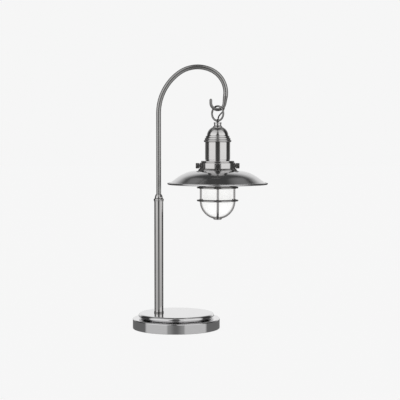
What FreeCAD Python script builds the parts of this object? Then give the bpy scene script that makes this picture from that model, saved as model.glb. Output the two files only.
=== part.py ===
import FreeCAD, Part
import math
import os
import Sketcher

# Table lamp: a lantern that hangs by a ring from a crooked post on a round base.
# Origin: centre of the base's underside. +Z up, the lantern towards +X, millimetres.

DRIVING = {
    # Base
    "base_radius": 89.5,
    "base_height": 21.0,
    "step_radius": 77.5,
    "step_height": 10.5,
    "base_wall": 1.2,
    "base_round": 2.2,
    "base_rim_lift": 0.3,
    "pad_thickness": 1.6,
    "pad_radius": 86.0,
    "plate_thickness": 1.2,
    "weight_radius": 83.0,
    "weight_thickness": 11.0,
    "channel_width": 12.0,
    "inlet_height": 11.0,
    "inlet_bore": 3.2,
    # Post
    "post_offset": 35.8,
    "post_radius": 9.15,
    "post_wall": 1.2,
    "post_top": 260.0,
    "foot_radius": 9.8,
    "foot_height": 2.8,
    "rod_radius": 4.9,
    "rod_bore": 3.6,
    "nipple_radius": 5.0,
    "nipple_bore": 3.5,
    # Crook
    "crook_start": 441.8,
    "crook_radius_first": 101.5,
    "crook_sweep_first": 53.4,
    "crook_radius_second": 65.3,
    "crook_sweep_second": 62.3,
    "crook_radius_third": 51.2,
    "hook_radius": 14.0,
    "hook_centre_height": 463.0,
    "hook_tip_height": 471.4,
    "hook_wire_low": 6.1,
    "hook_wire_tip": 5.6,
    # Ring and flex
    "lantern_offset": 85.0,
    "ring_radius": 14.9,
    "ring_wire": 3.9,
    "ring_lift": 3.1,
    "ring_yaw": 40.0,
    "flex_diameter": 2.8,
    # Lantern
    "finial_radius": 8.0,
    "finial_waist": 7.4,
    "finial_top": 423.2,
    "finial_base": 413.0,
    "dome_radius": 21.9,
    "dome_round": 18.9,
    "dome_seat": 10.4,
    "dome_base": 395.6,
    "step_depth": 4.2,
    "step_small": 23.6,
    "step_middle": 25.6,
    "step_large": 26.9,
    "neck_radius": 25.6,
    "neck_top": 383.0,
    "neck_base": 347.0,
    "sheet": 1.2,
    "gallery_plate_radius": 34.0,
    "gallery_plate_top": 344.4,
    "gallery_radius": 30.2,
    "gallery_top": 341.0,
    "gallery_wall": 1.5,
    "drum_radius": 36.4,
    "drum_skin": 1.5,
    "brim_radius": 40.6,
    "brim_height": 4.6,
    "screw_height": 334.3,
    "screw_reach": 44.9,
    "screw_head_radius": 5.5,
    "screw_head_length": 7.8,
    "shade_radius": 103.0,
    "shade_rim_height": 296.4,
    "shade_top": 324.2,
    "shade_bead": 2.1,
    "glass_radius": 29.7,
    "glass_wall": 2.4,
    "glass_centre": 261.4,
    "cage_ring_radius": 42.6,
    "cage_rib_radius": 34.2,
    "cage_rib_wire": 4.4,
    "cage_upper_ring": 289.8,
    "cage_lower_ring": 263.3,
    "cage_ring_thickness": 4.4,
    "cage_ring_edge": 2.8,
    "bulb_radius": 22.5,
    "bulb_centre": 262.5,
}

doc = FreeCAD.newDocument("hook_lamp")
sheet = doc.addObject("Spreadsheet::Sheet", "sizes")
for row, (alias, number) in enumerate(DRIVING.items(), start=1):
    sheet.set("A%d" % row, alias)
    sheet.set("B%d" % row, str(number))
    sheet.setAlias("B%d" % row, alias)
doc.recompute()


class Size:
    """A length with its value and the formula behind it."""

    def __init__(self, value, text):
        self.value = value
        self.text = text

    def _join(self, other, sign, value):
        return Size(value, "(%s %s %s)" % (self.text, sign, other.text))

    def __add__(self, other):
        other = as_size(other)
        return self._join(other, "+", self.value + other.value)

    def __sub__(self, other):
        other = as_size(other)
        return self._join(other, "-", self.value - other.value)

    def __mul__(self, other):
        other = as_size(other)
        return self._join(other, "*", self.value * other.value)

    def __truediv__(self, other):
        other = as_size(other)
        return self._join(other, "/", self.value / other.value)

    def __rsub__(self, other):
        return as_size(other) - self


def as_size(number):
    if isinstance(number, Size):
        return number
    return Size(float(number), repr(float(number)))


def size(alias):
    return Size(float(sheet.get(alias)), "sizes." + alias)


def value(number):
    return as_size(number).value


PARTS = {}


def keep(label, feature):
    """Name a finished sub-part and list it for writing out."""
    feature.Label = label
    PARTS[label] = feature
    return feature


def place(feature, across=0.0, along=0.0, up=0.0):
    """Move a sub-part to its own place."""
    for axis, offset in (("x", across), ("y", along), ("z", up)):
        if as_size(offset).value or isinstance(offset, Size):
            feature.setExpression("Placement.Base." + axis, as_size(offset).text)
    return feature


def origin_of(body, role):
    for feature in body.Origin.OriginFeatures:
        if feature.Role == role:
            return feature
    raise ValueError(role)


def arc_between(start, end, radius, turn):
    """Arc of a circle from start to end; turn is +1 anticlockwise, -1 clockwise."""
    middle = (start + end) * 0.5
    chord = end - start
    lift = math.sqrt(max(radius ** 2 - (chord.Length / 2) ** 2, 0.0))
    side = FreeCAD.Vector(-chord.y, chord.x, 0)
    side.normalize()
    centre = middle + side * lift * turn
    first, last = (start, end) if turn > 0 else (end, start)
    angle_first = math.atan2(first.y - centre.y, first.x - centre.x)
    angle_last = math.atan2(last.y - centre.y, last.x - centre.x)
    circle = Part.Circle(centre, FreeCAD.Vector(0, 0, 1), radius)
    if angle_last <= angle_first:
        angle_last += 2 * math.pi
    return Part.ArcOfCircle(circle, angle_first, angle_last)


def draw_profile(sketch, points):
    """Closed outline. Each point is (x, y) or (x, y, radius, turn): an arc to the next point."""
    count = len(points)
    spots = [FreeCAD.Vector(value(point[0]), value(point[1]), 0) for point in points]
    ends = []
    for index, point in enumerate(points):
        start = spots[index]
        end = spots[(index + 1) % count]
        if len(point) > 2:
            geometry = arc_between(start, end, value(point[2]), point[3])
            number = sketch.addGeometry(geometry, False)
            ends.append((number, 1, 2) if point[3] > 0 else (number, 2, 1))
        else:
            number = sketch.addGeometry(Part.LineSegment(start, end), False)
            ends.append((number, 1, 2))
    for index, (number, _, last) in enumerate(ends):
        follower, follower_first, _ = ends[(index + 1) % count]
        sketch.addConstraint(Sketcher.Constraint("Coincident", number, last, follower, follower_first))
    for index, point in enumerate(points):
        number, first, _ = ends[index]
        for kind, axis, offset in (("DistanceX", -2, point[0]), ("DistanceY", -1, point[1])):
            offset = as_size(offset)
            if offset.value == 0:
                sketch.addConstraint(Sketcher.Constraint("PointOnObject", number, first, axis))
                continue
            constraint = Sketcher.Constraint(kind, -1, 1, number, first, offset.value)
            place_number = sketch.addConstraint(constraint)
            sketch.setExpression("Constraints[%d]" % place_number, offset.text)
        if len(point) > 2:
            radius = as_size(point[2])
            place_number = sketch.addConstraint(Sketcher.Constraint("Radius", number, radius.value))
            sketch.setExpression("Constraints[%d]" % place_number, radius.text)


def new_body(label):
    return doc.addObject("PartDesign::Body", label)


def new_sketch(body, role, suffix):
    sketch = body.newObject("Sketcher::SketchObject", body.Name + suffix)
    sketch.AttachmentSupport = (origin_of(body, role), [""])
    sketch.MapMode = "FlatFace"
    return sketch


def turned(label, points, across=0.0):
    """A turned or spun piece: an outline (radius, height) revolved about its own axis."""
    body = new_body(label)
    sketch = new_sketch(body, "XZ_Plane", "_outline")
    draw_profile(sketch, points)
    spin = body.newObject("PartDesign::Revolution", label + "_turn")
    spin.Profile = sketch
    spin.ReferenceAxis = (sketch, ["V_Axis"])
    spin.Angle = 360
    body.Tip = spin
    place(body, across)
    return keep(label, body)


def tube_points(inner, outer, low, high):
    return [(inner, low), (outer, low), (outer, high), (inner, high)]


def turned_tube(label, inner, outer, low, high, across=0.0):
    return turned(label, tube_points(inner, outer, low, high), across)


def cut_round_holes(body, suffix, radius, depth_from, depth, ring_radius, count, turn_offset=0.0):
    """Bore upright holes on a circle through a turned piece."""
    sketch = new_sketch(body, "XY_Plane", suffix)
    angle = math.radians(turn_offset)
    centre = FreeCAD.Vector(value(ring_radius) * math.cos(angle), value(ring_radius) * math.sin(angle), 0)
    number = sketch.addGeometry(Part.Circle(centre, FreeCAD.Vector(0, 0, 1), value(radius)), False)
    place_number = sketch.addConstraint(Sketcher.Constraint("Radius", number, value(radius)))
    sketch.setExpression("Constraints[%d]" % place_number, as_size(radius).text)
    sketch.AttachmentOffset = FreeCAD.Placement(FreeCAD.Vector(0, 0, value(depth_from)), FreeCAD.Rotation())
    doc.recompute()
    pocket = body.newObject("PartDesign::Pocket", body.Name + suffix + "_cut")
    pocket.Profile = sketch
    pocket.Length = value(depth)
    pocket.setExpression("Length", as_size(depth).text)
    pocket.Reversed = True
    body.Tip = pocket
    if count > 1:
        doc.recompute()
        pattern = body.newObject("PartDesign::PolarPattern", body.Name + suffix + "_ring")
        pattern.Originals = [pocket]
        pattern.Axis = (origin_of(body, "Z_Axis"), [""])
        pattern.Angle = 360
        pattern.Occurrences = count
        body.Tip = pattern
    return body


def drill_sideways(body, suffix, radius, height, reach, back_spot):
    """Drill a level hole from the body's axis out through its back wall, where back_spot lies."""
    doc.recompute()
    sketch = new_sketch(body, "XZ_Plane", suffix)
    centre = FreeCAD.Vector(0, value(height), 0)
    number = sketch.addGeometry(Part.Circle(centre, FreeCAD.Vector(0, 0, 1), value(radius)), False)
    sketch.addConstraint(Sketcher.Constraint("PointOnObject", number, 3, -2))
    place_number = sketch.addConstraint(
        Sketcher.Constraint("DistanceY", -1, 1, number, 3, value(height)))
    sketch.setExpression("Constraints[%d]" % place_number, as_size(height).text)
    place_number = sketch.addConstraint(Sketcher.Constraint("Radius", number, value(radius)))
    sketch.setExpression("Constraints[%d]" % place_number, as_size(radius).text)
    doc.recompute()
    pocket = body.newObject("PartDesign::Pocket", body.Name + suffix + "_cut")
    pocket.Profile = sketch
    pocket.setExpression("Length", as_size(reach).text)
    body.Tip = pocket
    doc.recompute()
    if body.Shape.isInside(back_spot, 0.01, True):
        pocket.Reversed = True


def solid_feature(label, shape, across=0.0):
    """A piece whose form is made directly from the sizes."""
    feature = doc.addObject("Part::Feature", label)
    feature.Shape = shape
    feature.Placement = FreeCAD.Placement(FreeCAD.Vector(value(across), 0, 0), FreeCAD.Rotation())
    return keep(label, feature)


def cylinder(name, radius, height, across=0.0, along=0.0, up=0.0):
    """A helper cylinder."""
    feature = doc.addObject("Part::Cylinder", name)
    feature.setExpression("Radius", as_size(radius).text)
    feature.setExpression("Height", as_size(height).text)
    return place(feature, across, along, up)


def hex_nut(label, across_flats, bore, height, across, along, up):
    """A hexagon nut: a prism with a round bore."""
    prism = doc.addObject("Part::Prism", label + "_hex")
    prism.Polygon = 6
    prism.setExpression("Circumradius", (as_size(across_flats) / math.sqrt(3)).text)
    prism.setExpression("Height", as_size(height).text)
    bore_tool = cylinder(label + "_bore", bore, height)
    nut = doc.addObject("Part::Cut", label)
    nut.Base = prism
    nut.Tool = bore_tool
    place(nut, across, along, up)
    return keep(label, nut)


# Shared sizes
post_x = 0.0 - size("post_offset")
lantern_x = size("lantern_offset")
base_top = size("base_height")
step_top = base_top + size("step_height")
wall = size("base_wall")
sheet_wall = size("sheet")
tube_bore = size("nipple_radius") + 0.2
HAIR = 0.05
COVER_SCREW_CIRCLE = 66.0
COVER_SCREW_TURN = 30.0
COVER_SCREW_RADIUS = 1.3
COVER_SCREW_DEPTH = 8.0
NUT_FLATS = 15.0
NUT_WELL_RADIUS = 14.0
WASHER_RADIUS = 11.0
WASHER_THICKNESS = 1.2
COLLAR_SCREW_LIFT = 4.5
COLLAR_SCREW_HOLE = 1.5
ROD_INSERT = 26.0
LEAD_INNER_END = 68.0
LEAD_BENDS = [13.0, 8.0]
# The flex leaves the hook's bush, drops behind the ring and enters the finial.
FLEX_ROUTE = [
    (97.654, 0.0, 452.052),
    (96.854, 0.0, 446.106),
    (90.2, 2.9, 439.6),
    (85.5, 5.05, 433.0),
    (85.5, 5.05, 418.7),
]
SCREW_NAMES = ("right", "back", "left", "front")
SCREW_BORE = 2.05


# Base

def make_base():
    pad = size("pad_thickness")
    plate_top = pad + size("plate_thickness")
    rim_low = size("base_rim_lift")
    outer = size("base_radius")
    rounding = size("base_round")

    pad_rim = size("pad_radius")
    pad_edge = 0.6
    turned("base_pad", [(0, 0), (pad_rim - pad_edge, 0), (pad_rim, pad_edge), (pad_rim, pad), (0, pad)])

    cover = turned("base_cover_plate", tube_points(0, outer - wall - 0.3, pad, plate_top))
    cut_round_holes(cover, "_holes", COVER_SCREW_RADIUS + 0.5, pad - 1, size("plate_thickness") + 2,
                    COVER_SCREW_CIRCLE, 3, COVER_SCREW_TURN)

    shell = turned("base_lower_shell", [
        (outer - wall, rim_low), (outer - 0.5, rim_low), (outer, rim_low + 0.5),
        (outer, base_top - rounding, rounding, 1), (outer - rounding, base_top),
        (0, base_top), (0, base_top - wall),
        (outer - rounding, base_top - wall, rounding - wall, -1), (outer - wall, base_top - rounding),
    ])
    nipple_hole = size("nipple_radius") + 0.1
    cut_round_holes(shell, "_nipple_hole", nipple_hole, 10.0, 20.0, size("post_offset"), 1, 180.0)
    drill_sideways(shell, "_inlet", size("inlet_bore") + 1.8, size("inlet_height"), outer + 10,
                   FreeCAD.Vector(0, value(outer) - 0.6, value(size("inlet_height"))))

    # The upper disc's edge is a half round.
    step = size("step_radius")
    edge_round = size("step_height") / 2
    inner_round = edge_round - wall
    flat = step - edge_round
    upper = turned("base_upper_disc", [
        (flat, base_top, edge_round, 1), (step, base_top + edge_round, edge_round, 1), (flat, step_top),
        (0, step_top), (0, step_top - wall),
        (flat, step_top - wall, inner_round, -1), (step - wall, base_top + edge_round, inner_round, -1),
        (flat, base_top + wall),
    ])
    cut_round_holes(upper, "_nipple_hole", nipple_hole, 20.0, 20.0, size("post_offset"), 1, 180.0)

    # The cast weight has a channel for the lead and three holes for the cover's screws.
    channel = size("channel_width")
    disc = cylinder("weight_disc", size("weight_radius"), size("weight_thickness"), 0, 0, plate_top)
    run_back = doc.addObject("Part::Box", "weight_channel_back")
    run_back.setExpression("Length", channel.text)
    run_back.setExpression("Width", (size("weight_radius") + channel / 2).text)
    run_back.setExpression("Height", (size("weight_thickness") + 2).text)
    place(run_back, 0.0 - channel / 2, 0.0 - channel / 2, plate_top - 1)
    run_side = doc.addObject("Part::Box", "weight_channel_side")
    run_side.setExpression("Length", (size("post_offset") + channel).text)
    run_side.setExpression("Width", channel.text)
    run_side.setExpression("Height", (size("weight_thickness") + 2).text)
    place(run_side, post_x - channel / 2, 0.0 - channel / 2, plate_top - 1)
    nut_well = cylinder("weight_nut_well", NUT_WELL_RADIUS, size("weight_thickness") + 2, post_x, 0,
                        plate_top - 1)
    tools = [run_back, run_side, nut_well]
    for index in range(3):
        angle = math.radians(COVER_SCREW_TURN + 120 * index)
        tools.append(cylinder("weight_screw_hole_%d" % index, COVER_SCREW_RADIUS + HAIR,
                              size("weight_thickness") + 2, COVER_SCREW_CIRCLE * math.cos(angle),
                              COVER_SCREW_CIRCLE * math.sin(angle), plate_top - 1))
    joined = doc.addObject("Part::MultiFuse", "weight_cuts")
    joined.Shapes = tools
    weight = doc.addObject("Part::Cut", "base_weight")
    weight.Base = disc
    weight.Tool = joined
    keep("base_weight", weight)

    # Three countersunk screws hold the cover plate under the weight.
    screws = new_body("base_cover_screws")
    sketch = new_sketch(screws, "XZ_Plane", "_outline")
    centre = COVER_SCREW_CIRCLE
    shank = centre + COVER_SCREW_RADIUS
    head = shank + 0.45
    tip = plate_top + COVER_SCREW_DEPTH
    draw_profile(sketch, [(centre, pad + 0.1), (head, pad + 0.1), (head, plate_top - 0.6),
                          (shank, plate_top - 0.15), (shank, tip), (centre, tip)])
    line = sketch.addGeometry(
        Part.LineSegment(FreeCAD.Vector(centre, 0, 0), FreeCAD.Vector(centre, 5, 0)), True)
    sketch.addConstraint(Sketcher.Constraint("Vertical", line))
    sketch.addConstraint(Sketcher.Constraint("PointOnObject", line, 1, -1))
    sketch.addConstraint(Sketcher.Constraint("DistanceX", -1, 1, line, 1, centre))
    doc.recompute()
    spin = screws.newObject("PartDesign::Revolution", "base_cover_screws_turn")
    spin.Profile = sketch
    spin.ReferenceAxis = (sketch, ["Axis0"])
    spin.Angle = 360
    doc.recompute()
    pattern = screws.newObject("PartDesign::PolarPattern", "base_cover_screws_ring")
    pattern.Originals = [spin]
    pattern.Axis = (origin_of(screws, "Z_Axis"), [""])
    pattern.Angle = 360
    pattern.Occurrences = 3
    screws.Tip = pattern
    upright = FreeCAD.Vector(0, 0, 1)
    screws.Placement = FreeCAD.Placement(FreeCAD.Vector(), FreeCAD.Rotation(upright, COVER_SCREW_TURN))
    keep("base_cover_screws", screws)

    # Threaded tube, washer and nut clamp the discs to the post.
    nipple = size("nipple_radius")
    under = base_top - wall
    turned_tube("base_nipple", size("nipple_bore"), nipple, base_top - 5.6, step_top + 14, post_x)
    washer_low = under - WASHER_THICKNESS
    nut_height = 3.0
    turned_tube("base_washer", nipple + HAIR, WASHER_RADIUS, washer_low, under, post_x)
    hex_nut("base_lock_nut", NUT_FLATS, nipple + HAIR, nut_height, post_x, 0, washer_low - nut_height)

    # A grommet lines the cord's way in at the back.
    depth_in = -3.2
    depth_out = 2.4
    bore = size("inlet_bore")
    flange = bore + 3.2
    groove = bore + 1.75
    grommet = turned("cord_inlet_grommet", [
        (bore, depth_in), (flange, depth_in), (flange, depth_in / 2), (groove, depth_in / 2),
        (groove, 0.35), (flange, 0.35), (flange - 0.6, depth_out - 0.4), (flange - 1.2, depth_out),
        (bore, depth_out),
    ])
    grommet.Placement = FreeCAD.Placement(
        FreeCAD.Vector(0, value(outer), value(size("inlet_height"))),
        FreeCAD.Rotation(FreeCAD.Vector(1, 0, 0), -90))
    grommet.setExpression("Placement.Base.y", outer.text)
    grommet.setExpression("Placement.Base.z", size("inlet_height").text)


# Post

def make_post():
    foot = size("foot_radius")
    foot_top = step_top + size("foot_height")
    post = size("post_radius")
    turned("post_foot_collar", [
        (size("nipple_radius") + HAIR, step_top), (foot, step_top), (foot, foot_top - 0.6, 0.6, 1),
        (foot - 0.6, foot_top), (size("nipple_radius") + HAIR, foot_top),
    ], post_x)
    tube_low = foot_top
    inner = post - size("post_wall")
    turned_tube("post_tube", inner, post, tube_low, size("post_top"), post_x)
    turned_tube("post_foot_plug", size("nipple_radius") + HAIR, inner - HAIR, tube_low, tube_low + 16, post_x)
    turned_tube("post_top_bush", size("rod_radius") + HAIR, inner - HAIR, size("post_top") - ROD_INSERT,
                size("post_top"), post_x)
    top = size("post_top")
    rod = size("rod_radius") + HAIR
    rim = post + 0.3
    collar = turned("post_top_collar", [
        (rod, top), (rim, top), (rim, top + 2.2, 3.2, 1), (rim, top + 6.8),
        (8.1, top + 8.0, 12.0, 1), (6.5, top + 14.4, 1.9, 1), (rod, top + 16.2),
    ], post_x)
    screw_height = top + COLLAR_SCREW_LIFT
    drill_sideways(collar, "_screw_hole", COLLAR_SCREW_HOLE, screw_height, post + 10,
                   FreeCAD.Vector(value(post_x), 7.0, value(screw_height)))
    screw = turned("crook_grub_screw", [(0, 0), (1.45, 0), (1.45, 4.6), (0.9, 4.6), (0.9, 3.2), (0, 3.2)])
    screw.Placement = FreeCAD.Placement(
        FreeCAD.Vector(value(post_x), value(rod), value(screw_height)),
        FreeCAD.Rotation(FreeCAD.Vector(1, 0, 0), -90))


# Crook and hook

def crook_centres():
    """Centres of the crook's three arcs and of the hook, in the XZ plane, and the tangent angle."""
    start = FreeCAD.Vector(value(post_x), 0, value(size("crook_start")))
    radii = [value(size("crook_radius_" + name)) for name in ("first", "second", "third")]
    sweeps = [math.radians(value(size("crook_sweep_" + name))) for name in ("first", "second")]
    first = start + FreeCAD.Vector(radii[0], 0, 0)
    angle_one = math.pi - sweeps[0]
    angle_two = angle_one - sweeps[1]
    second = first + polar(radii[0] - radii[1], angle_one)
    third = second + polar(radii[1] - radii[2], angle_two)
    hook = FreeCAD.Vector(value(lantern_x), 0, value(size("hook_centre_height")))
    gap = hook - third
    lean = math.atan2(gap.z, gap.x)
    spread = math.acos((radii[2] - value(size("hook_radius"))) / gap.Length)
    tangent = lean + spread
    return (first, second, third, hook), radii, (math.pi, angle_one, angle_two, tangent)


def polar(radius, angle):
    return FreeCAD.Vector(radius * math.cos(angle), 0, radius * math.sin(angle))


def arc_edge(centre, radius, start, end):
    """Arc in the XZ plane from one angle to another."""
    middle = (start + end) / 2
    return Part.Arc(centre + polar(radius, start), centre + polar(radius, middle),
                    centre + polar(radius, end)).toShape()


def crook_edges(low):
    """The crook's centreline from a height on the post to where the hook begins."""
    (first, second, third, _), radii, angles = crook_centres()
    foot = FreeCAD.Vector(value(post_x), 0, low)
    start = FreeCAD.Vector(value(post_x), 0, value(size("crook_start")))
    return [
        Part.LineSegment(foot, start).toShape(),
        arc_edge(first, radii[0], angles[0], angles[1]),
        arc_edge(second, radii[1], angles[1], angles[2]),
        arc_edge(third, radii[2], angles[2], angles[3]),
    ]


def pipe(edges, radius):
    """A round bar along a smooth run of edges."""
    spine = Part.Wire(edges)
    start = spine.OrderedVertexes[0].Point
    heading = spine.OrderedEdges[0].tangentAt(spine.OrderedEdges[0].FirstParameter)
    if spine.OrderedEdges[0].Orientation == "Reversed":
        heading = heading * -1
    circle = Part.Wire([Part.Circle(start, heading, radius).toShape()])
    return spine.makePipeShell([circle], True, True)


def make_crook():
    low = value(size("post_top")) - ROD_INSERT
    rod = value(size("rod_radius"))
    bore = value(size("rod_bore"))
    edges = crook_edges(low)
    tube = pipe(edges, rod).cut(pipe(edges, bore))
    solid_feature("crook_tube", tube.removeSplitter())

    # The hook tapers from the tube's end, round the ring's seat, to its tip.
    centres, radii, angles = crook_centres()
    third, hook = centres[2], centres[3]
    tangent = angles[3]
    hook_radius = value(size("hook_radius"))
    start = third + polar(radii[2], tangent)
    turn = hook + polar(hook_radius, tangent)
    down = turn - start
    down.normalize()
    low_wire = value(size("hook_wire_low")) / 2
    tip_wire = value(size("hook_wire_tip")) / 2
    tip = FreeCAD.Vector(hook.x - hook_radius, 0, value(size("hook_tip_height")) - tip_wire)

    def disc(centre, heading, radius):
        return Part.Wire([Part.Circle(centre, heading, radius).toShape()])

    neck_wire = rod - 1.0
    seat_share = 0.45
    taper = Part.makeCone(rod, neck_wire, (turn - start).Length, start, down)
    sections = [disc(turn, down, neck_wire)]
    steps = 12
    for step in range(1, steps + 1):
        share = step / steps
        angle = tangent + (-math.pi - tangent) * share
        fade = min(share / seat_share, 1.0)
        late = max((share - seat_share) / (1 - seat_share), 0.0)
        radius = neck_wire + (low_wire - neck_wire) * fade + (tip_wire - low_wire) * late
        heading = FreeCAD.Vector(math.sin(angle), 0, -math.cos(angle))
        sections.append(disc(hook + polar(hook_radius, angle), heading, radius))
    body = Part.makeLoft(sections, True, False)
    limb_low = FreeCAD.Vector(tip.x, 0, hook.z)
    limb = Part.makeCylinder(tip_wire, tip.z - limb_low.z, limb_low, FreeCAD.Vector(0, 0, 1))
    cap = Part.makeSphere(tip_wire, tip)
    spigot_length = 9.0
    spigot = pipe([arc_edge(third, radii[2], tangent + spigot_length / radii[2], tangent)], bore - HAIR)
    solid = body.fuse([taper, limb, cap, spigot]).removeSplitter()
    lead_bore = value(size("flex_diameter")) / 2 + 0.35
    way = pipe([arc_edge(third, radii[2], tangent + (spigot_length + 1) / radii[2], tangent),
                Part.LineSegment(start, start + down * 35.0).toShape()], lead_bore)
    solid_feature("hook_end", solid.cut(way))

    # Where the straight bore breaks out of the curving hook, a bush guards the flex.
    reach = math.sqrt((hook_radius + rod - 1.6) ** 2 - hook_radius ** 2)
    mouth = turn + down * reach
    bush = Part.makeCylinder(lead_bore - 0.02, 7.0, mouth - down * 5.6, down)
    flange = Part.makeCone(lead_bore + 0.75, lead_bore + 0.25, 1.2, mouth + down * 0.2, down)
    hole = Part.makeCylinder(value(size("flex_diameter")) / 2 + 0.02, 30.0, mouth - down * 15, down)
    bush = bush.fuse(flange).cut(hole).cut(solid.cut(way)).removeSplitter()
    solid_feature("flex_exit_bush", max(bush.Solids, key=lambda piece: piece.Volume))
    return start, mouth, down


def rounded_route(points, radii):
    """Edges of straight runs joined by tangent arcs at the inner points."""
    edges = []
    last = points[0]
    for index in range(1, len(points) - 1):
        corner = points[index]
        back = (points[index - 1] - corner)
        ahead = (points[index + 1] - corner)
        back.normalize()
        ahead.normalize()
        turn = math.pi - back.getAngle(ahead)
        trim = radii[index - 1] * math.tan(turn / 2)
        enter = corner + back * trim
        leave = corner + ahead * trim
        bisector = back + ahead
        bisector.normalize()
        depth = radii[index - 1] / math.cos(turn / 2) - radii[index - 1]
        if (enter - last).Length > 1e-6:
            edges.append(Part.LineSegment(last, enter).toShape())
        edges.append(Part.Arc(enter, corner + bisector * depth, leave).toShape())
        last = leave
    edges.append(Part.LineSegment(last, points[-1]).toShape())
    return edges


def make_leads(start, mouth, down):
    radius = value(size("flex_diameter")) / 2
    height = value(size("inlet_height"))
    low = value(step_top) + 20
    corner = FreeCAD.Vector(0, 0, height)
    side = FreeCAD.Vector(value(post_x), 0, height)
    inner_end = FreeCAD.Vector(0, LEAD_INNER_END, height)
    points = [inner_end, corner, side, FreeCAD.Vector(value(post_x), 0, low)]
    edges = rounded_route(points, LEAD_BENDS)
    edges += crook_edges(low)
    edges.append(Part.LineSegment(start, mouth - down * 1.0).toShape())
    solid_feature("inner_lead", pipe(edges, radius))

    route = [FreeCAD.Vector(*point) for point in FLEX_ROUTE]
    radii = []
    for index in range(1, len(route) - 1):
        before = route[index] - route[index - 1]
        after = route[index + 1] - route[index]
        bend = before.getAngle(after)
        shorter = min(before.Length, after.Length)
        radii.append(0.45 * shorter / math.tan(bend / 2))
    edges = rounded_route(route, radii)
    print("flex radii", [round(bend, 1) for bend in radii])
    print("flex length", round(sum(edge.Length for edge in edges), 1))
    solid_feature("lantern_flex", pipe(edges, radius))

    # The clamp grips the mains cord just inside the grommet.
    width, depth, tall = 11.0, 9.0, 7.5
    block = Part.makeBox(width, depth, tall,
                         FreeCAD.Vector(-width / 2, LEAD_INNER_END + 1, height - tall / 2))
    hole = Part.makeCylinder(value(size("inlet_bore")), 20.0, FreeCAD.Vector(0, LEAD_INNER_END - 3, height),
                             FreeCAD.Vector(0, 1, 0))
    solid_feature("cord_clamp", block.cut(hole))


# Ring

def make_ring():
    torus = doc.addObject("Part::Torus", "hanging_ring")
    torus.setExpression("Radius1", size("ring_radius").text)
    torus.setExpression("Radius2", (size("ring_wire") / 2).text)
    bottom = ring_bottom()
    turn = FreeCAD.Rotation(FreeCAD.Vector(0, 0, 1), -value(size("ring_yaw")))
    stand = FreeCAD.Rotation(FreeCAD.Vector(1, 0, 0), 90)
    torus.Placement = FreeCAD.Placement(
        FreeCAD.Vector(value(lantern_x), 0, bottom + value(size("ring_radius"))), turn.multiply(stand))
    keep("hanging_ring", torus)


def ring_bottom():
    """Height of the wire's centre at the ring's lowest point."""
    return value(size("finial_top") + size("ring_lift"))


# Lantern head

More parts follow.
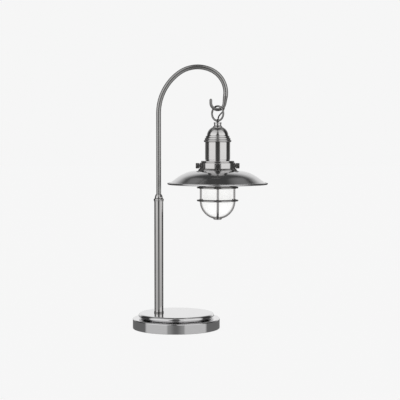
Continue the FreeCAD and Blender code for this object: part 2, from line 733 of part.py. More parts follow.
def make_head():
    yaw = math.radians(-value(size("ring_yaw")))
    pivot = ring_bottom()
    # A staple-shaped eye straddles the ring's wire and is riveted into the finial.
    eye_wire = 0.9
    eye_radius = 3.2
    square = FreeCAD.Vector(-math.sin(yaw), math.cos(yaw), 0)
    rivet_depth = 3.4
    leg_low = value(size("finial_top")) - rivet_depth
    centre = FreeCAD.Vector(value(lantern_x), 0, pivot)
    left = centre - square * eye_radius
    right = centre + square * eye_radius
    foot_left = FreeCAD.Vector(left.x, left.y, leg_low)
    foot_right = FreeCAD.Vector(right.x, right.y, leg_low)
    crown = centre + FreeCAD.Vector(0, 0, eye_radius)
    edges = [Part.LineSegment(foot_left, left).toShape(), Part.Arc(left, crown, right).toShape(),
             Part.LineSegment(right, foot_right).toShape()]
    eye = pipe(edges, eye_wire)
    solid_feature("hanger_eye", eye)

    top = size("finial_top")
    base = size("finial_base")
    radius = size("finial_radius")
    waist = size("finial_waist")
    finial = turned("finial", [
        (0, top), (0, top - 3.5), (5.6, top - 3.5), (5.6, base), (9.8, base), (9.8, base + 1.0),
        (waist, base + 3.8), (waist, top - 3.6), (radius, top - 1.6), (radius, top - 0.7, 0.7, 1),
        (radius - 0.7, top),
    ], lantern_x)
    doc.recompute()
    holes = []
    for spot in (left, right):
        holes.append(Part.makeCylinder(eye_wire, 8.0, FreeCAD.Vector(spot.x, spot.y, value(top) - 6),
                                       FreeCAD.Vector(0, 0, 1)))
    bush_radius = 1.9
    flex_end = FreeCAD.Vector(*FLEX_ROUTE[-1])
    entry = FreeCAD.Vector(flex_end.x, flex_end.y, value(top) - 6)
    holes.append(Part.makeCylinder(bush_radius, 8.0, entry, FreeCAD.Vector(0, 0, 1)))
    cutter = doc.addObject("Part::Feature", "finial_holes")
    cutter.Shape = holes[0].fuse(holes[1:])
    drilled = doc.addObject("Part::Cut", "finial_drilled")
    drilled.Base = finial
    drilled.Tool = cutter
    PARTS.pop("finial")
    finial.Label = "finial_turning"
    keep("finial", drilled)
    bush = Part.makeCylinder(bush_radius - 0.02, 4.6, FreeCAD.Vector(entry.x, entry.y, value(top) - 3.8),
                             FreeCAD.Vector(0, 0, 1))
    hole = Part.makeCylinder(value(size("flex_diameter")) / 2 + 0.2, 12.0, entry, FreeCAD.Vector(0, 0, 1))
    solid_feature("flex_entry_bush", bush.cut(hole))

    dome = size("dome_radius")
    dome_base = size("dome_base")
    bend = size("dome_round")
    seat = size("dome_seat")
    thin = sheet_wall
    turned("dome_cap", [
        (tube_bore, base), (seat, base, bend, -1), (dome, dome_base + 0.8), (dome - 0.4, dome_base),
        (dome - thin, dome_base), (dome - thin, dome_base + 0.8, bend - thin, 1),
        (seat - 0.3, base - thin), (tube_bore, base - thin),
    ], lantern_x)

    # Three turned steps with bulging sides stand under the dome. The lowest bulges most.
    low = size("neck_top")
    rise = size("step_depth")
    small = size("step_small")
    middle = size("step_middle")
    large = size("step_large")
    bulge = 3.2
    bore = 22.0
    lip = 20.6
    turned("cap_stepped_ring", [
        (bore, low), (large, low, 2.3, 1), (large, low + rise), (middle, low + rise, bulge, 1),
        (middle, low + rise * 2), (small, low + rise * 2, bulge, 1), (small, dome_base),
        (lip, dome_base), (lip, dome_base - 1.6), (bore, dome_base - 3.0),
    ], lantern_x)

    neck = size("neck_radius")
    neck_base = size("neck_base")
    plate_top = size("gallery_plate_top")
    skirt = neck - 0.9
    turned("neck_sleeve", [
        (tube_bore, low), (neck - 0.5, low), (neck, low - 0.5), (neck, neck_base + 0.4),
        (neck - 0.4, neck_base), (skirt, neck_base), (skirt, plate_top), (skirt - thin, plate_top),
        (skirt - thin, neck_base), (neck - thin, neck_base + thin), (neck - thin, low - thin),
        (tube_bore, low - thin),
    ], lantern_x)


def radial_cylinder(radius, start, end, angle, height):
    """A level cylinder that points outwards from the lantern's axis."""
    heading = FreeCAD.Vector(math.cos(angle), math.sin(angle), 0)
    origin = FreeCAD.Vector(0, 0, height) + heading * start
    return Part.makeCylinder(radius, end - start, origin, heading)


def make_gallery():
    plate = size("gallery_plate_radius")
    plate_bore = 21.0
    plate_top = size("gallery_plate_top")
    top = size("gallery_top")
    radius = size("gallery_radius")
    inner = radius - size("gallery_wall")
    turned("gallery_plate", [
        (plate_bore, top), (plate - 0.9, top), (plate, top + 0.9), (plate, plate_top - 1.2, 1.2, 1),
        (plate - 1.2, plate_top), (plate_bore, plate_top),
    ], lantern_x)

    shade_top = size("shade_top")
    body = turned("gallery_turning", tube_points(inner, radius, shade_top - 8.0, top), lantern_x)
    PARTS.pop("gallery_turning")
    height = value(size("screw_height"))
    angles = [math.radians(90 * index) for index in range(4)]
    brim = size("brim_radius")
    brim_top = shade_top + size("brim_height")
    drum = size("drum_radius")
    skin = drum - size("drum_skin")
    shell = turned("drum_turning", [
        (skin, brim_top), (drum - 0.4, brim_top), (drum, brim_top + 0.4), (drum, top - 1.6, 1.6, 1),
        (drum - 1.6, top), (radius + HAIR, top), (radius + HAIR, top - size("drum_skin")),
        (skin, top - size("drum_skin")),
    ], lantern_x)
    PARTS.pop("drum_turning")
    holes = [radial_cylinder(SCREW_BORE + 0.2, 20, 40, angle, height) for angle in angles]
    for label, turning in (("gallery_body", body), ("gallery_shell", shell)):
        cutter = doc.addObject("Part::Feature", label + "_holes")
        cutter.Shape = holes[0].fuse(holes[1:])
        cutter.Placement = FreeCAD.Placement(FreeCAD.Vector(value(lantern_x), 0, 0), FreeCAD.Rotation())
        drilled = doc.addObject("Part::Cut", label)
        drilled.Base = turning
        drilled.Tool = cutter
        keep(label, drilled)

    turned("gallery_brim", [
        (radius + HAIR, shade_top), (brim, shade_top), (brim, shade_top + 0.8), (drum + 1.4, brim_top - 0.8),
        (drum + 0.4, brim_top), (radius + HAIR, brim_top),
    ], lantern_x)
    clamp = 38.5
    clamp_low = shade_top - 4.6
    turned("shade_clamp_ring", [
        (radius + HAIR, clamp_low), (clamp - 1.0, clamp_low), (clamp, clamp_low + 1.0),
        (clamp, shade_top - 1.0), (radius + HAIR, shade_top - 1.0),
    ], lantern_x)

    # Four threaded bosses between body and shell carry the thumbscrews that hold the cage's collar.
    core = Part.makeCylinder(value(radius), 40.0, FreeCAD.Vector(0, 0, height - 20))
    bosses = []
    for angle in angles:
        boss = radial_cylinder(5.0, 25, value(skin) - 0.6, angle, height)
        boss = boss.cut(core).cut(radial_cylinder(SCREW_BORE, 20, 40, angle, height))
        bosses.append(max(boss.Solids, key=lambda piece: piece.Volume))
    solid_feature("screw_bosses", Part.makeCompound(bosses), lantern_x)

    tip = 28.8
    neck = drum + 0.2
    reach = size("screw_reach")
    head = size("screw_head_radius")
    head_low = reach - size("screw_head_length")
    for name, angle in zip(SCREW_NAMES, angles):
        label = "thumbscrew_" + name
        screw = turned(label, [
            (0, tip), (1.6, tip), (2.0, tip + 0.4), (2.0, neck), (3.6, neck), (3.6, head_low),
            (head - 0.6, head_low), (head, head_low + 0.6), (head, reach - 1.1, 1.1, 1),
            (head - 1.1, reach), (0, reach),
        ])
        cut_round_holes(screw, "_knurl", 0.5, head_low - 1, size("screw_head_length") + 2, head + 0.2, 20)
        turn = FreeCAD.Rotation(FreeCAD.Vector(0, 0, 1), math.degrees(angle))
        lay = FreeCAD.Rotation(FreeCAD.Vector(0, 1, 0), 90)
        screw.Placement = FreeCAD.Placement(
            FreeCAD.Vector(value(lantern_x), 0, height), turn.multiply(lay))
        screw.setExpression("Placement.Base.x", lantern_x.text)
        screw.setExpression("Placement.Base.z", size("screw_height").text)


def make_shade():
    """A spun shade: a flat crown, a rounded shoulder, a straight flank and a bead round the rim."""
    top = size("shade_top")
    rim = size("shade_rim_height") - 0.5
    edge = size("shade_radius")
    thin = 1.0
    hole = size("gallery_radius") + 0.15
    crown = 46.0
    shoulder = 52.6
    flank = 84.0
    flank_height = top - 14.6
    bead = size("shade_bead")
    turned("shade", [
        (hole, top - thin), (crown, top - thin, 28.0, -1), (shoulder - 0.3, top - thin - 0.7, 79.0, -1),
        (flank - 0.7, flank_height - 0.75), (96.2, rim + 3.6), (97.4, rim + 1.2), (99.2, rim),
        (edge - bead, rim, bead, 1), (edge, rim + bead, bead, 1), (edge - bead, rim + bead * 2),
        (edge - bead - 1.6, rim + bead * 2 - 0.7), (98.3, rim + 3.3), (97.4, rim + 4.0),
        (flank, flank_height, 80.0, 1), (shoulder, top - 0.7, 29.0, 1), (crown, top), (hole, top),
    ], lantern_x)


def make_holder():
    """Lampholder, its threaded tube and the bulb."""
    low = size("neck_top")
    nipple = size("nipple_radius")
    nut_height = 3.5
    turned_tube("holder_nipple", size("nipple_bore"), nipple, 336.0, size("finial_base") - 1, lantern_x)
    hex_nut("neck_lock_nut", NUT_FLATS, nipple + HAIR, nut_height, lantern_x, 0,
            low - sheet_wall - nut_height)
    cap_top = 342.0
    cap_low = 326.0
    turned("lampholder_cap", [
        (nipple + HAIR, cap_top), (9.0, cap_top, 5.0, -1), (14.0, cap_top - 5), (14.0, cap_low),
        (12.6, cap_low), (12.6, cap_top - 7), (nipple + HAIR, cap_top - 7),
    ], lantern_x)
    body_top = cap_low - 0.1
    body_low = 296.0
    socket = 7.1
    floor = body_top - 2.3
    turned("lampholder_body", [
        (socket, body_low), (13.2, body_low), (13.9, body_low + 0.7), (13.9, body_top), (3.6, body_top),
        (3.6, floor), (socket, floor),
    ], lantern_x)
    turned("holder_contact", [
        (0, floor - 1.2), (3.4, floor - 1.2), (3.4, body_top), (2.4, body_top + 1.5), (0, body_top + 1.5),
    ], lantern_x)
    tip = floor - 1.7
    glass_joint = 293.2
    thread = socket - HAIR
    turned("bulb_cap", [
        (0, tip), (2.4, tip), (3.4, tip - 2.1), (6.4, tip - 3.7), (thread, tip - 4.9),
        (thread, body_low - 0.1), (8.4, body_low - 1.4), (8.4, glass_joint), (0, glass_joint),
    ], lantern_x)
    ball = size("bulb_radius")
    centre = size("bulb_centre")
    glass = 0.9
    stem = 8.3
    turned("bulb_glass", [
        (0, centre - ball, ball, 1), (ball, centre, ball, 1), (12.0, centre + 19.0),
        (stem, glass_joint - 3.2), (stem, glass_joint), (stem - glass, glass_joint),
        (stem - glass, glass_joint - 3.6),
        (11.0, centre + 18.6, ball - glass, -1), (ball - glass, centre, ball - glass, -1),
        (0, centre - ball + glass),
    ], lantern_x)


def make_glass():
    radius = size("glass_radius")
    thick = size("glass_wall")
    centre = size("glass_centre")
    lip = 32.6
    lip_low = 306.0
    glass_top = 311.4
    collar_under = 313.4
    turned("glass_dome", [
        (0, centre - radius, radius, 1), (radius, centre), (radius, lip_low - 1.4), (lip, lip_low),
        (lip, glass_top - 1.4), (radius, glass_top), (radius - thick, glass_top),
        (radius - thick, centre, radius - thick, -1), (0, centre - radius + thick),
    ], lantern_x)
    turned_tube("glass_gasket", 27.0, 33.6, glass_top, collar_under, lantern_x)
    ring_inner = radius + 0.6
    ring_low = lip_low - 3.6
    turned("glass_retaining_ring", [
        (ring_inner, ring_low), (33.9, ring_low), (33.9, lip_low), (lip + 0.3, lip_low),
        (ring_inner, lip_low - 1.3),
    ], lantern_x)


def make_cage():
    neck = size("gallery_radius") - size("gallery_wall") - 0.35
    under = size("cage_upper_ring") + size("cage_ring_thickness") / 2
    skirt = 35.5
    skirt_top = 315.5
    collar_top = 339.0
    seat = 313.4
    turned("cage_collar", [
        (skirt - 1.5, under), (skirt, under), (skirt, skirt_top - 0.4), (skirt - 0.4, skirt_top),
        (neck, skirt_top), (neck, collar_top), (neck - 1.4, collar_top), (neck - 1.4, seat),
        (skirt - 1.5, seat),
    ], lantern_x)

    rib_centre = value(size("cage_rib_radius"))
    rib_radius = value(size("cage_rib_wire")) / 2
    top = value(under)
    bend = value(size("glass_centre"))
    ribs = []
    for turn in (0, 90):
        heading = FreeCAD.Vector(math.cos(math.radians(turn)), math.sin(math.radians(turn)), 0)
        left = heading * -rib_centre
        edges = [
            Part.LineSegment(left + FreeCAD.Vector(0, 0, top), left + FreeCAD.Vector(0, 0, bend)).toShape(),
            Part.Arc(left + FreeCAD.Vector(0, 0, bend), FreeCAD.Vector(0, 0, bend - rib_centre),
                     heading * rib_centre + FreeCAD.Vector(0, 0, bend)).toShape(),
            Part.LineSegment(heading * rib_centre + FreeCAD.Vector(0, 0, bend),
                             heading * rib_centre + FreeCAD.Vector(0, 0, top)).toShape(),
        ]
        ribs.append(pipe(edges, rib_radius))
    cross = ribs[0].fuse(ribs[1]).removeSplitter()
    solid_feature("cage_ribs", cross, lantern_x)

    # The rings thin towards their rims. Rings and boss are notched for the ribs.
    rim = size("cage_ring_radius")
    inner = size("cage_rib_radius") - 0.6
    thick = size("cage_ring_thickness") / 2
    thin = size("cage_ring_edge") / 2
    outlines = {}
    for label in ("cage_upper_ring", "cage_lower_ring"):
        middle = size(label)
        outlines[label] = [
            (inner, middle - thick), (inner + 3, middle - thick), (rim - 0.7, middle - thin),
            (rim, middle - thin + 0.7), (rim, middle + thin - 0.7), (rim - 0.7, middle + thin),
            (inner + 3, middle + thick), (inner, middle + thick),
        ]
    bottom = bend - rib_centre
    outlines["cage_boss"] = [
        (0, bottom - 4.0), (2.4, bottom - 4.0, 3.2, 1), (4.6, bottom - 2.0), (4.6, bottom - 1.0),
        (0, bottom - 1.0),
    ]
    for label, outline in outlines.items():
        whole = turned(label + "_turning", outline, lantern_x)
        PARTS.pop(label + "_turning")
        cutter = doc.addObject("Part::Feature", label + "_seat")
        cutter.Shape = cross
        cutter.Placement = FreeCAD.Placement(FreeCAD.Vector(value(lantern_x), 0, 0), FreeCAD.Rotation())
        seated = doc.addObject("Part::Cut", label)
        seated.Base = whole
        seated.Tool = cutter
        keep(label, seated)


def check_and_write():
    """Every object must be sound and every sub-part a closed solid before anything is written."""
    doc.recompute()
    for thing in doc.Objects:
        faults = [word for word in thing.State if word in ("Invalid", "Error")]
        if faults:
            raise RuntimeError("%s is %s" % (thing.Name, ", ".join(faults)))
    for label, feature in PARTS.items():
        shape = feature.Shape
        if shape.isNull() or not shape.isValid() or not shape.Solids:
            raise RuntimeError("%s has no sound solid" % label)
    os.makedirs("parts", exist_ok=True)
    for label, feature in PARTS.items():
        box = feature.Shape.BoundBox
        print("%-22s solids %d volume %8.0f height %.1f to %.1f" % (
            label, len(feature.Shape.Solids), feature.Shape.Volume, box.ZMin, box.ZMax))
        feature.Shape.exportStep("parts/%s.step" % label)
    print("sub-parts", len(PARTS))


make_base()
make_post()
make_leads(*make_crook())
make_ring()
make_head()
make_gallery()
make_shade()
make_holder()
make_glass()
make_cage()
check_and_write()
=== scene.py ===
import bmesh
import bpy
import math
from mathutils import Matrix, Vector


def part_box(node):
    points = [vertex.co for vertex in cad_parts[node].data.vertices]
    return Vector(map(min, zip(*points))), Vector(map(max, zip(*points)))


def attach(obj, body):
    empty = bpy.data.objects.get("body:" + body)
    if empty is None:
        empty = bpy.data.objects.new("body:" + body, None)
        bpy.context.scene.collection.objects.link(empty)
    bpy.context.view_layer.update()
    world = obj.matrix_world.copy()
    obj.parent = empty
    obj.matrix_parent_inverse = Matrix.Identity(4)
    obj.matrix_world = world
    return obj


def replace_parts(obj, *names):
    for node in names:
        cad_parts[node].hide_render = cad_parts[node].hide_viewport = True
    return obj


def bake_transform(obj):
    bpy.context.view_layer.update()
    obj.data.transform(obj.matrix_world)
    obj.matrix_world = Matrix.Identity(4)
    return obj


# Chrome table lamp: a caged lantern that hangs by a ring from a crooked post.
# The CAD frame gives the shapes. The finishes, the flex and the cage's foot and welds are made here.

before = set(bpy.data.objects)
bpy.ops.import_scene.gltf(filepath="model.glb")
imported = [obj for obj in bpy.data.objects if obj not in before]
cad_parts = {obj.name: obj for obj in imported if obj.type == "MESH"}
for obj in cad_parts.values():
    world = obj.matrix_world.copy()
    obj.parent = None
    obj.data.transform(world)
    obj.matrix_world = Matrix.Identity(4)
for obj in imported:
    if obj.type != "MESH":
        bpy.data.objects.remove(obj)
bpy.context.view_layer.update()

BASE_AXIS = (0.0, 0.0, 0.0)
POST_AXIS = (-0.0358, 0.0, 0.0)
LANTERN_AXIS = (0.085, 0.0, 0.0)
WHITE = (1.0, 1.0, 1.0, 1.0)


# Camera, from the photograph: a long lens, slightly above the lantern, pitched down.

def make_camera():
    data = bpy.data.cameras.new("camera")
    data.sensor_width = 36.0
    data.lens = 108.0
    camera = bpy.data.objects.new("camera", data)
    camera.location = (0.0489, -2.460, 0.393)
    camera.rotation_euler = (math.radians(87.0), 0.0, 0.0)
    bpy.context.scene.collection.objects.link(camera)
    bpy.context.scene.camera = camera


make_camera()


# Node helpers

NOISE_LOW = 0.3
NOISE_HIGH = 0.7


class Tree:
    """Short names for making and joining shader nodes."""

    def __init__(self, owner):
        owner.use_nodes = True
        self.tree = owner.node_tree
        self.tree.nodes.clear()

    def node(self, kind, inputs=None, **settings):
        made = self.tree.nodes.new(kind)
        for name, setting in settings.items():
            setattr(made, name, setting)
        for socket, source in (inputs or {}).items():
            self.feed(made.inputs[socket], source)
        return made

    def feed(self, socket, source):
        if isinstance(source, bpy.types.NodeSocket):
            self.tree.links.new(source, socket)
        else:
            socket.default_value = source

    def math(self, operation, first, second=0.0):
        made = self.node("ShaderNodeMath", operation=operation)
        self.feed(made.inputs[0], first)
        self.feed(made.inputs[1], second)
        return made.outputs[0]

    def product(self, first, *factors):
        for factor in factors:
            first = self.math("MULTIPLY", first, factor)
        return first

    def above(self, source, edge):
        """0 below the edge's first number, 1 above its second, smooth between."""
        made = self.node("ShaderNodeMapRange", interpolation_type="SMOOTHSTEP")
        for socket, setting in zip(made.inputs, (source, edge[0], edge[1], 0.0, 1.0)):
            self.feed(socket, setting)
        return made.outputs[0]

    def below(self, source, edge):
        """1 below the edge's first number, 0 above its second, smooth between."""
        return self.above(source, (edge[1], edge[0]))

    def spread(self, source, low, high):
        """A noise's usual range, spread over low to high."""
        made = self.node("ShaderNodeMapRange", clamp=True)
        for socket, setting in zip(made.inputs, (source, NOISE_LOW, NOISE_HIGH, low, high)):
            self.feed(socket, setting)
        return made.outputs[0]

    def noise(self, vector, scale, detail):
        made = self.node("ShaderNodeTexNoise", {"Vector": vector, "Scale": scale, "Detail": detail})
        return made.outputs["Fac"]

    def bump(self, height, strength, distance):
        made = self.node("ShaderNodeBump", {"Height": height, "Strength": strength, "Distance": distance})
        return made.outputs[0]

    def mix(self, share, first, second):
        made = self.node("ShaderNodeMix", data_type="RGBA")
        self.feed(made.inputs["Factor"], share)
        self.feed(made.inputs[6], first)
        self.feed(made.inputs[7], second)
        return made.outputs[2]

    def place(self):
        return self.node("ShaderNodeTexCoord").outputs["Object"]


def new_material(name):
    material = bpy.data.materials.new(name)
    return material, Tree(material)


def principled(t, inputs):
    shader = t.node("ShaderNodeBsdfPrincipled", inputs)
    t.node("ShaderNodeOutputMaterial", {"Surface": shader.outputs[0]})


def shaded(tint, share):
    """A tint times a share, as an opaque colour."""
    return [channel * share for channel in tint] + [1.0]


# Studio: what polished metal sees is the world; the camera sees a plain pale floor and backdrop.
# Each pair gives, in degrees, where an edge starts and ends. A level is a brightness.

PALE = 0.9216
BACKDROP_SPAN = (58.0, 60.0)
BACKDROP_FADE = (0.46, 0.98)
BACKDROP_FOOT = (-4.5, -0.5)
SOFTBOX_SIDE = (86.0, 98.0)
SOFTBOX_INNER = (154.0, 165.0)
SOFTBOX_INNER_SHIFT = 9.0
SOFTBOX_INNER_SHIFTS = (4.0, 22.0)
SOFTBOX_TOP = (62.0, 84.0)
SOFTBOX_FADE = (8.0, 70.0)
SOFTBOX_HIGH_LEVEL = 0.60
SOFTBOX_LOW_GAIN = 0.38
SOFTBOX_TABLE_LOSS = 0.36
TABLE_LINE = (-9.0, 2.0)
TABLE_LEVEL = 0.13
CEILING = (38.0, 50.0)
CEILING_END = (56.0, 84.0)
CEILING_SIDE = (18.0, 36.0)
CEILING_LEVEL = 0.28
FRONT = (140.0, 160.0)
FRONT_ABOVE = (5.0, 26.0)
FRONT_ABOVE_END = (48.0, 72.0)
FRONT_ABOVE_LEVEL = 0.13
FRONT_BELOW = (-34.0, -14.0)
FRONT_BELOW_LEVEL = 0.26
FRONT_FRINGE = (160.0, 178.0)
FRONT_FRINGE_LEVEL = 0.17
DARK_LEVEL = 0.035
DARK_HIGH = (20.0, 50.0)
DARK_HIGH_GAIN = 0.05


def make_world():
    """Light by direction. turn is 0 straight behind the lamp and 180 behind the camera; rise is elevation."""
    world = bpy.data.worlds.new("studio")
    bpy.context.scene.world = world
    t = Tree(world)
    where = t.node("ShaderNodeTexCoord").outputs["Generated"]
    parts = t.node("ShaderNodeSeparateXYZ", {0: where}).outputs
    turn = t.math("DEGREES", t.math("ARCTAN2", t.math("ABSOLUTE", parts[0]), parts[1]))
    rise = t.math("DEGREES", t.math("ARCSINE", parts[2]))
    table = t.below(rise, TABLE_LINE)
    front = t.above(turn, FRONT)

    across = t.math("DIVIDE", turn, BACKDROP_SPAN[0])
    upward = t.math("DIVIDE", rise, BACKDROP_SPAN[1])
    oval = t.node("ShaderNodeCombineXYZ", {0: across, 1: upward, 2: 0.0}).outputs[0]
    reach = t.node("ShaderNodeVectorMath", {0: oval}, operation="LENGTH").outputs["Value"]
    backdrop = t.product(t.below(reach, BACKDROP_FADE), t.above(rise, BACKDROP_FOOT), PALE)

    shift = t.product(t.above(rise, SOFTBOX_INNER_SHIFTS), SOFTBOX_INNER_SHIFT)
    inner = t.below(t.math("SUBTRACT", turn, shift), SOFTBOX_INNER)
    softboxes = t.product(t.above(turn, SOFTBOX_SIDE), inner, t.below(rise, SOFTBOX_TOP))
    gain = t.product(t.below(rise, SOFTBOX_FADE), SOFTBOX_LOW_GAIN)
    level = t.math("SUBTRACT", t.math("ADD", SOFTBOX_HIGH_LEVEL, gain), t.product(table, SOFTBOX_TABLE_LOSS))
    softboxes = t.product(softboxes, level)

    ceiling = t.product(t.above(rise, CEILING), t.below(rise, CEILING_END), t.above(turn, CEILING_SIDE),
                        CEILING_LEVEL)
    front_above = t.product(front, t.above(rise, FRONT_ABOVE), t.below(rise, FRONT_ABOVE_END),
                            FRONT_ABOVE_LEVEL)
    front_below = t.product(front, t.below(rise, FRONT_BELOW), FRONT_BELOW_LEVEL)

    fringe = t.product(front, t.below(turn, FRONT_FRINGE), table, FRONT_FRINGE_LEVEL)
    light = t.math("ADD", DARK_LEVEL, t.math("ADD", t.product(table, TABLE_LEVEL), fringe))
    light = t.math("ADD", light, t.product(t.above(rise, DARK_HIGH), DARK_HIGH_GAIN))
    for part in (backdrop, softboxes, ceiling, front_above, front_below):
        light = t.math("MAXIMUM", light, part)
    background = t.node("ShaderNodeBackground", {"Color": WHITE, "Strength": light})
    t.node("ShaderNodeOutputWorld", {"Surface": background.outputs[0]})


ROOM_LEVEL = 0.9216
FLOOR_LEVEL = 0.8945
FLOOR_ALBEDO = 0.07
FLOOR_DROP = 0.0002
STAGE_SIZE = 14.0


def stage_material(name, level, albedo):
    material, t = new_material(name)
    principled(t, {
        "Base Color": (albedo, albedo, albedo, 1.0), "Roughness": 0.9, "Specular IOR Level": 0.0,
        "Emission Color": WHITE, "Emission Strength": level,
    })
    return material


def make_stage():
    bpy.ops.mesh.primitive_plane_add(size=STAGE_SIZE * 2, location=(0, 0, -FLOOR_DROP))
    floor = bpy.context.object
    floor.name = "stage_floor"
    floor.data.materials.append(stage_material("stage_floor_paint", FLOOR_LEVEL, FLOOR_ALBEDO))
    floor.visible_glossy = False
    bpy.ops.mesh.primitive_uv_sphere_add(segments=64, ring_count=32, radius=STAGE_SIZE)
    room = bpy.context.object
    room.name = "stage_room"
    room.data.materials.append(stage_material("stage_room_paint", ROOM_LEVEL, 0.0))
    room.visible_glossy = False
    room.visible_diffuse = False
    room.visible_shadow = False


make_world()
make_stage()
bpy.context.scene.view_settings.view_transform = "Standard"
bpy.context.scene.view_settings.look = "None"


# Finishes

SPUN_TURN = 0.0006
CLOUD_SCALE = 38.0
SPECK_SCALE = 900.0
SPECK_SHARE = 0.25
CLOUD_ROUGHNESS = 0.015
CLOUD_SHADE = 0.955
BRUSH_SHADE = 0.90
BRUSH_SHARE = 0.5
RIM_PAINT_BLEND = 0.0008
RIM_PAINTED_HIGHLIGHT_GAIN = 1.45
MATTE_CLOUD_SCALE = 0.05
MATTE_GRAIN_ROUGHNESS = 0.06
MATTE_CLOUD_ROUGHNESS = 0.04
SEED_SCALE = 420.0
SEED_ROUGHNESS = (0.22, 0.34)
MILK_SCALE = 30.0
MILK_THIN = (0.44, 0.445, 0.44, 1.0)
MILK_THICK = (0.47, 0.47, 0.465, 1.0)
MILK_GLOW = (1.0, 0.996, 0.988, 1.0)


def spun_place(t, axis):
    """Radius and height about an upright axis, so that noise lies in rings round it."""
    moved = t.node("ShaderNodeVectorMath", {0: t.place(), 1: axis}, operation="SUBTRACT").outputs[0]
    flat = t.node("ShaderNodeVectorMath", {0: moved, 1: (1.0, 1.0, 0.0)}, operation="MULTIPLY").outputs[0]
    radius = t.node("ShaderNodeVectorMath", {0: flat}, operation="LENGTH").outputs["Value"]
    parts = t.node("ShaderNodeSeparateXYZ", {0: moved}).outputs
    turn = t.product(t.math("ARCTAN2", parts[1], parts[0]), SPUN_TURN)
    return t.node("ShaderNodeCombineXYZ", {0: radius, 1: turn, 2: parts[2]}).outputs[0]


def metal(name, tint, rough, grain, grain_scale, bump, place=None, edge=1.0, rim_paint_height=None):
    """Plated metal. grain is how far the brushing changes the roughness, and place is the axis of the rings
    that it lies in, or None. edge is how much of the reflection is left where the surface turns away: below 1
    it is painted shade that darkens the silhouettes. Below the rim height given, the bead's colour is raised
    as a painted highlight face on, and its reflection is cut to black as painted shade where it turns away."""
    material, t = new_material(name)
    plain = t.place()
    where = spun_place(t, place) if place else plain
    brushing = t.noise(where, grain_scale, 3.0)
    cloud = t.noise(plain, CLOUD_SCALE, 4.0)
    specks = t.noise(plain, SPECK_SCALE, 2.0)
    color = t.mix(t.spread(cloud, 0.0, 1.0), shaded(tint, CLOUD_SHADE), shaded(tint, 1.0))
    color = t.mix(t.product(t.spread(brushing, 0.0, 1.0), BRUSH_SHARE), color, shaded(tint, BRUSH_SHADE))
    roughness = t.math("ADD", t.spread(brushing, rough - grain, rough + grain),
                       t.product(t.spread(cloud, -1.0, 1.0), CLOUD_ROUGHNESS))
    height = t.math("ADD", brushing, t.product(specks, SPECK_SHARE))
    # Specular Tint below 1 cuts the reflection where the surface turns away: painted shade on the
    # silhouettes.
    edge_shade_tint = (edge, edge, edge, 1.0)
    # Below the rim height: painted highlight, the colour raised by the gain, and painted shade, the edge
    # reflection cut to black.
    if rim_paint_height:
        up = t.node("ShaderNodeSeparateXYZ", {0: plain}).outputs[2]
        over = t.above(up, (rim_paint_height, rim_paint_height + RIM_PAINT_BLEND))
        edge_shade_tint = t.mix(over, (0.0, 0.0, 0.0, 1.0), edge_shade_tint)
        color = t.mix(over, shaded(tint, RIM_PAINTED_HIGHLIGHT_GAIN), color)
    principled(t, {
        "Base Color": color, "Metallic": 1.0, "Roughness": roughness,
        "Normal": t.bump(height, bump, 0.0002), "Specular Tint": edge_shade_tint,
    })
    return material


def matte(name, tint, rough, scale, spread, bump, sheen=0.0):
    """Plastic, rubber, cast iron or felt: mottled colour, uneven roughness and a grained surface."""
    material, t = new_material(name)
    where = t.place()
    grain = t.noise(where, scale, 5.0)
    cloud = t.noise(where, scale * MATTE_CLOUD_SCALE, 3.0)
    color = t.mix(t.spread(grain, 0.0, 1.0), shaded(tint, 1.0 - spread), shaded(tint, 1.0 + spread))
    uneven = t.spread(grain, rough - MATTE_GRAIN_ROUGHNESS, rough + MATTE_GRAIN_ROUGHNESS)
    roughness = t.math("ADD", uneven, t.product(t.spread(cloud, -1.0, 1.0), MATTE_CLOUD_ROUGHNESS))
    principled(t, {
        "Base Color": color, "Roughness": roughness, "Normal": t.bump(grain, bump, 0.0003),
        "Sheen Weight": sheen,
    })
    return material


def opal(name, level, thin):
    """Frosted white glass, softly lit from the bulb inside it. thin is the share that lets light through."""
    material, t = new_material(name)
    where = t.place()
    seeds = t.noise(where, SEED_SCALE, 3.0)
    cloud = t.noise(where, MILK_SCALE, 2.0)
    color = t.mix(t.spread(cloud, 0.0, 1.0), MILK_THIN, MILK_THICK)
    principled(t, {
        "Base Color": color, "Roughness": t.spread(seeds, *SEED_ROUGHNESS),
        "Normal": t.bump(seeds, 0.03, 0.0001), "IOR": 1.5, "Transmission Weight": thin,
        "Emission Color": MILK_GLOW, "Emission Strength": level,
    })
    return material
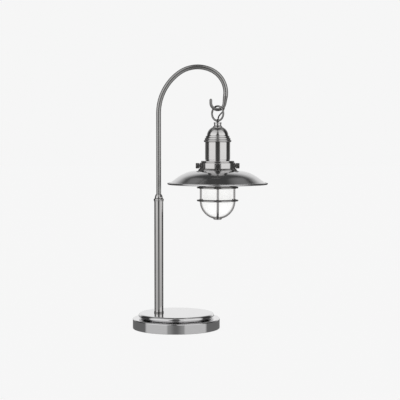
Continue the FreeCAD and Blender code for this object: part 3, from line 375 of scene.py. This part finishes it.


# The plated parts are lighter and darker copies of one nickel, tinted part by part as painted light and
# shade; darkest, as painted shade, are the hook finish on the hook, hanging ring, eye, bosses and
# thumbscrews, and the foot finish on the post's foot collar.
FINISH = {
    "base": metal("chrome_base", (0.76, 0.755, 0.76), rough=0.06, grain=0.02, grain_scale=1500.0, bump=0.02,
                  place=BASE_AXIS),
    "post": metal("nickel_post", (0.64, 0.63, 0.625), rough=0.05, grain=0.02, grain_scale=1800.0, bump=0.03,
                  place=POST_AXIS, edge=0.0),
    "crook": metal("nickel_crook", (0.46, 0.455, 0.45), rough=0.24, grain=0.06, grain_scale=1500.0, bump=0.08,
                   edge=0.15),
    "hook": metal("nickel_hook_painted_shade", (0.34, 0.335, 0.33), rough=0.20, grain=0.05, grain_scale=1500.0, bump=0.08,
                  edge=0.1),
    "foot": metal("nickel_foot_painted_shade", (0.30, 0.295, 0.29), rough=0.16, grain=0.05, grain_scale=1500.0, bump=0.06,
                  place=POST_AXIS, edge=0.1),
    "head": metal("nickel_spun", (0.76, 0.75, 0.745), rough=0.09, grain=0.04, grain_scale=2400.0, bump=0.05,
                  place=LANTERN_AXIS, edge=0.1),
    # The shade's rim bead carries the painted highlight and painted shade below its rim height.
    "shade": metal("nickel_shade", (0.57, 0.565, 0.57), rough=0.11, grain=0.05, grain_scale=1800.0, bump=0.04,
                   place=LANTERN_AXIS, rim_paint_height=0.2990),
    "cage": metal("nickel_cage", (0.56, 0.55, 0.545), rough=0.14, grain=0.04, grain_scale=1600.0, bump=0.05,
                  edge=0.15),
    "zinc": metal("zinc_steel", (0.60, 0.60, 0.58), rough=0.34, grain=0.10, grain_scale=800.0, bump=0.15),
    "brass": metal("plain_brass", (0.83, 0.66, 0.36), rough=0.24, grain=0.08, grain_scale=1800.0, bump=0.08,
                   place=LANTERN_AXIS),
    "iron": matte("cast_iron", (0.10, 0.10, 0.10), rough=0.72, scale=700.0, spread=0.3, bump=0.5),
    "felt": matte("felt_pad", (0.045, 0.045, 0.05), rough=0.95, scale=2400.0, spread=0.5, bump=0.8,
                  sheen=0.5),
    "plastic": matte("moulded_plastic", (0.03, 0.03, 0.032), rough=0.42, scale=1400.0, spread=0.2, bump=0.15),
    "sheath": matte("cord_sheath", (0.025, 0.025, 0.027), rough=0.42, scale=2200.0, spread=0.2, bump=0.10),
    "rubber": matte("seal_rubber", (0.05, 0.05, 0.05), rough=0.70, scale=1800.0, spread=0.25, bump=0.3),
    "glass": opal("opal_glass", level=0.60, thin=0.15),
    "bulb": opal("opal_bulb", level=0.30, thin=0.2),
}

NODE_FINISH = {
    "base": ["base_lower_shell", "base_upper_disc"],
    "post": ["post_tube", "post_top_collar"],
    "crook": ["crook_tube", "crook_grub_screw"],
    "hook": ["hook_end", "hanging_ring", "hanger_eye", "screw_bosses", "thumbscrew_right", "thumbscrew_back",
             "thumbscrew_left", "thumbscrew_front"],
    "foot": ["post_foot_collar"],
    "head": ["finial", "dome_cap", "cap_stepped_ring", "neck_sleeve", "gallery_plate", "gallery_body",
             "gallery_shell", "gallery_brim"],
    "shade": ["shade", "shade_clamp_ring"],
    "cage": ["cage_collar", "cage_ribs", "cage_upper_ring", "cage_lower_ring", "cage_boss"],
    "zinc": ["base_cover_plate", "base_nipple", "base_washer", "base_lock_nut", "base_cover_screws",
             "post_foot_plug", "post_top_bush", "holder_nipple", "neck_lock_nut", "glass_retaining_ring"],
    "brass": ["holder_contact", "bulb_cap"],
    "iron": ["base_weight"],
    "felt": ["base_pad"],
    "plastic": ["cord_inlet_grommet", "cord_clamp", "flex_exit_bush", "flex_entry_bush", "lampholder_cap",
                "lampholder_body"],
    "sheath": ["inner_lead", "lantern_flex"],
    "rubber": ["glass_gasket"],
    "glass": ["glass_dome"],
    "bulb": ["bulb_glass"],
}

for finish, names in NODE_FINISH.items():
    for name in names:
        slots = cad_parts[name].data.materials
        slots.clear()
        slots.append(FINISH[finish])


# Flex: straight out of the hook, then down behind the ring into the finial.

FLEX_DIAMETER = 0.0028
FLEX_ROUTE = [
    (0.097654, 0.0, 0.452052),
    (0.096854, 0.0, 0.446106),
    (0.0902, 0.0029, 0.4396),
    (0.0855, 0.00505, 0.4330),
    (0.0855, 0.00505, 0.4187),
]


def flex_mesh(bevel):
    """The route's smooth line as a mesh: bare points where bevel is 0, otherwise a tube of that radius."""
    curve = bpy.data.curves.new("flex_route", "CURVE")
    curve.dimensions = "3D"
    spline = curve.splines.new("NURBS")
    spline.points.add(len(FLEX_ROUTE) - 1)
    for point, place in zip(spline.points, FLEX_ROUTE):
        point.co = (*place, 1.0)
    spline.order_u = 3
    spline.use_endpoint_u = True
    spline.resolution_u = 16
    curve.bevel_depth = bevel
    curve.bevel_resolution = 6
    curve.use_fill_caps = True
    line = bpy.data.objects.new("flex_route", curve)
    bpy.context.scene.collection.objects.link(line)
    bpy.context.view_layer.update()
    mesh = bpy.data.meshes.new_from_object(line)
    bpy.data.objects.remove(line)
    bpy.data.curves.remove(curve)
    return mesh


def smooth_piece(name, mesh, finish):
    """An object of the scene with one smooth-shaded mesh in one finish."""
    mesh.materials.clear()
    mesh.materials.append(FINISH[finish])
    mesh.polygons.foreach_set("use_smooth", [True] * len(mesh.polygons))
    piece = bpy.data.objects.new(name, mesh)
    bpy.context.scene.collection.objects.link(piece)
    return piece


def make_flex():
    path = [tuple(vertex.co) for vertex in flex_mesh(0.0).vertices]
    flex = smooth_piece("lantern_flex_line", flex_mesh(FLEX_DIAMETER / 2), "sheath")
    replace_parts(flex, "lantern_flex")
    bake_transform(flex)


make_flex()


# Cage details: a flat button under the crossing of the ribs, and fillet welds where ribs pass the rings.

FOOT_STEPS = 48
# Radius, and height above the top of the boss that the button stands for.
FOOT_PROFILE = [
    (0.0040, -0.0028), (0.0072, -0.0024), (0.0086, -0.0014), (0.0084, -0.0004), (0.0068, 0.0002),
    (0.0035, -0.0002),
]
RIB_RADIUS = 0.0342
RIB_HALF = 0.0022
RING_HALF = 0.0020
WELD_WIRE = 0.0009
WELD_HALF_ANGLE = math.radians(105.0)
WELD_STEPS = 18
WELD_SIDES = 8
WELD_RIPPLE = 0.16
WELD_RIPPLES = 9


def skin(code, rings):
    """Joins equal rings of points with quads, one to the next, and closes both ends."""
    for first, second in zip(rings, rings[1:]):
        for i in range(len(first)):
            j = (i + 1) % len(first)
            code.faces.new((first[i], first[j], second[j], second[i]))
    code.faces.new(rings[0])
    code.faces.new(rings[-1])


def cage_piece(name, code):
    """Turns a bmesh into a piece of the cage."""
    mesh = bpy.data.meshes.new(name)
    bmesh.ops.recalc_face_normals(code, faces=code.faces)
    code.to_mesh(mesh)
    code.free()
    piece = smooth_piece(name, mesh, "cage")
    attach(piece, "cage")
    return piece


def make_cage_foot():
    low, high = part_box("cage_boss")
    middle = Vector(((low[0] + high[0]) / 2, (low[1] + high[1]) / 2, 0.0))
    code = bmesh.new()
    rings = []
    for radius, height in FOOT_PROFILE:
        ring = []
        for i in range(FOOT_STEPS):
            angle = 2 * math.pi * i / FOOT_STEPS
            place = Vector((radius * math.cos(angle), radius * math.sin(angle), high[2] + height))
            ring.append(code.verts.new(middle + place))
        rings.append(ring)
    skin(code, rings)
    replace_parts(cage_piece("cage_foot", code), "cage_boss")


def weld_bead(code, centre, out, phase):
    """One bead round the outside of a rib at centre. out points away from the lantern's axis."""
    side = Vector((-out.y, out.x, 0.0))
    rings = []
    for i in range(WELD_STEPS + 1):
        angle = WELD_HALF_ANGLE * (2 * i / WELD_STEPS - 1)
        reach = out * math.cos(angle) + side * math.sin(angle)
        wire = WELD_WIRE * (1.0 + WELD_RIPPLE * math.sin(WELD_RIPPLES * angle + phase))
        ring = []
        for k in range(WELD_SIDES):
            around = 2 * math.pi * k / WELD_SIDES
            away = reach * (RIB_HALF + wire * math.cos(around))
            ring.append(code.verts.new(centre + away + Vector((0.0, 0.0, wire * math.sin(around)))))
        rings.append(ring)
    skin(code, rings)


def make_cage_welds():
    """Weld beads under the upper ring, and under and over the lower one."""
    code = bmesh.new()
    for node, sides in (("cage_upper_ring", (-1,)), ("cage_lower_ring", (-1, 1))):
        low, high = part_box(node)
        middle = (low[2] + high[2]) / 2
        for quarter in range(4):
            angle = quarter * math.pi / 2
            out = Vector((math.cos(angle), math.sin(angle), 0.0))
            for side in sides:
                up = Vector((0.0, 0.0, middle + side * RING_HALF))
                weld_bead(code, Vector(LANTERN_AXIS) + out * RIB_RADIUS + up, out, quarter)
    cage_piece("cage_welds", code)


make_cage_foot()
make_cage_welds()
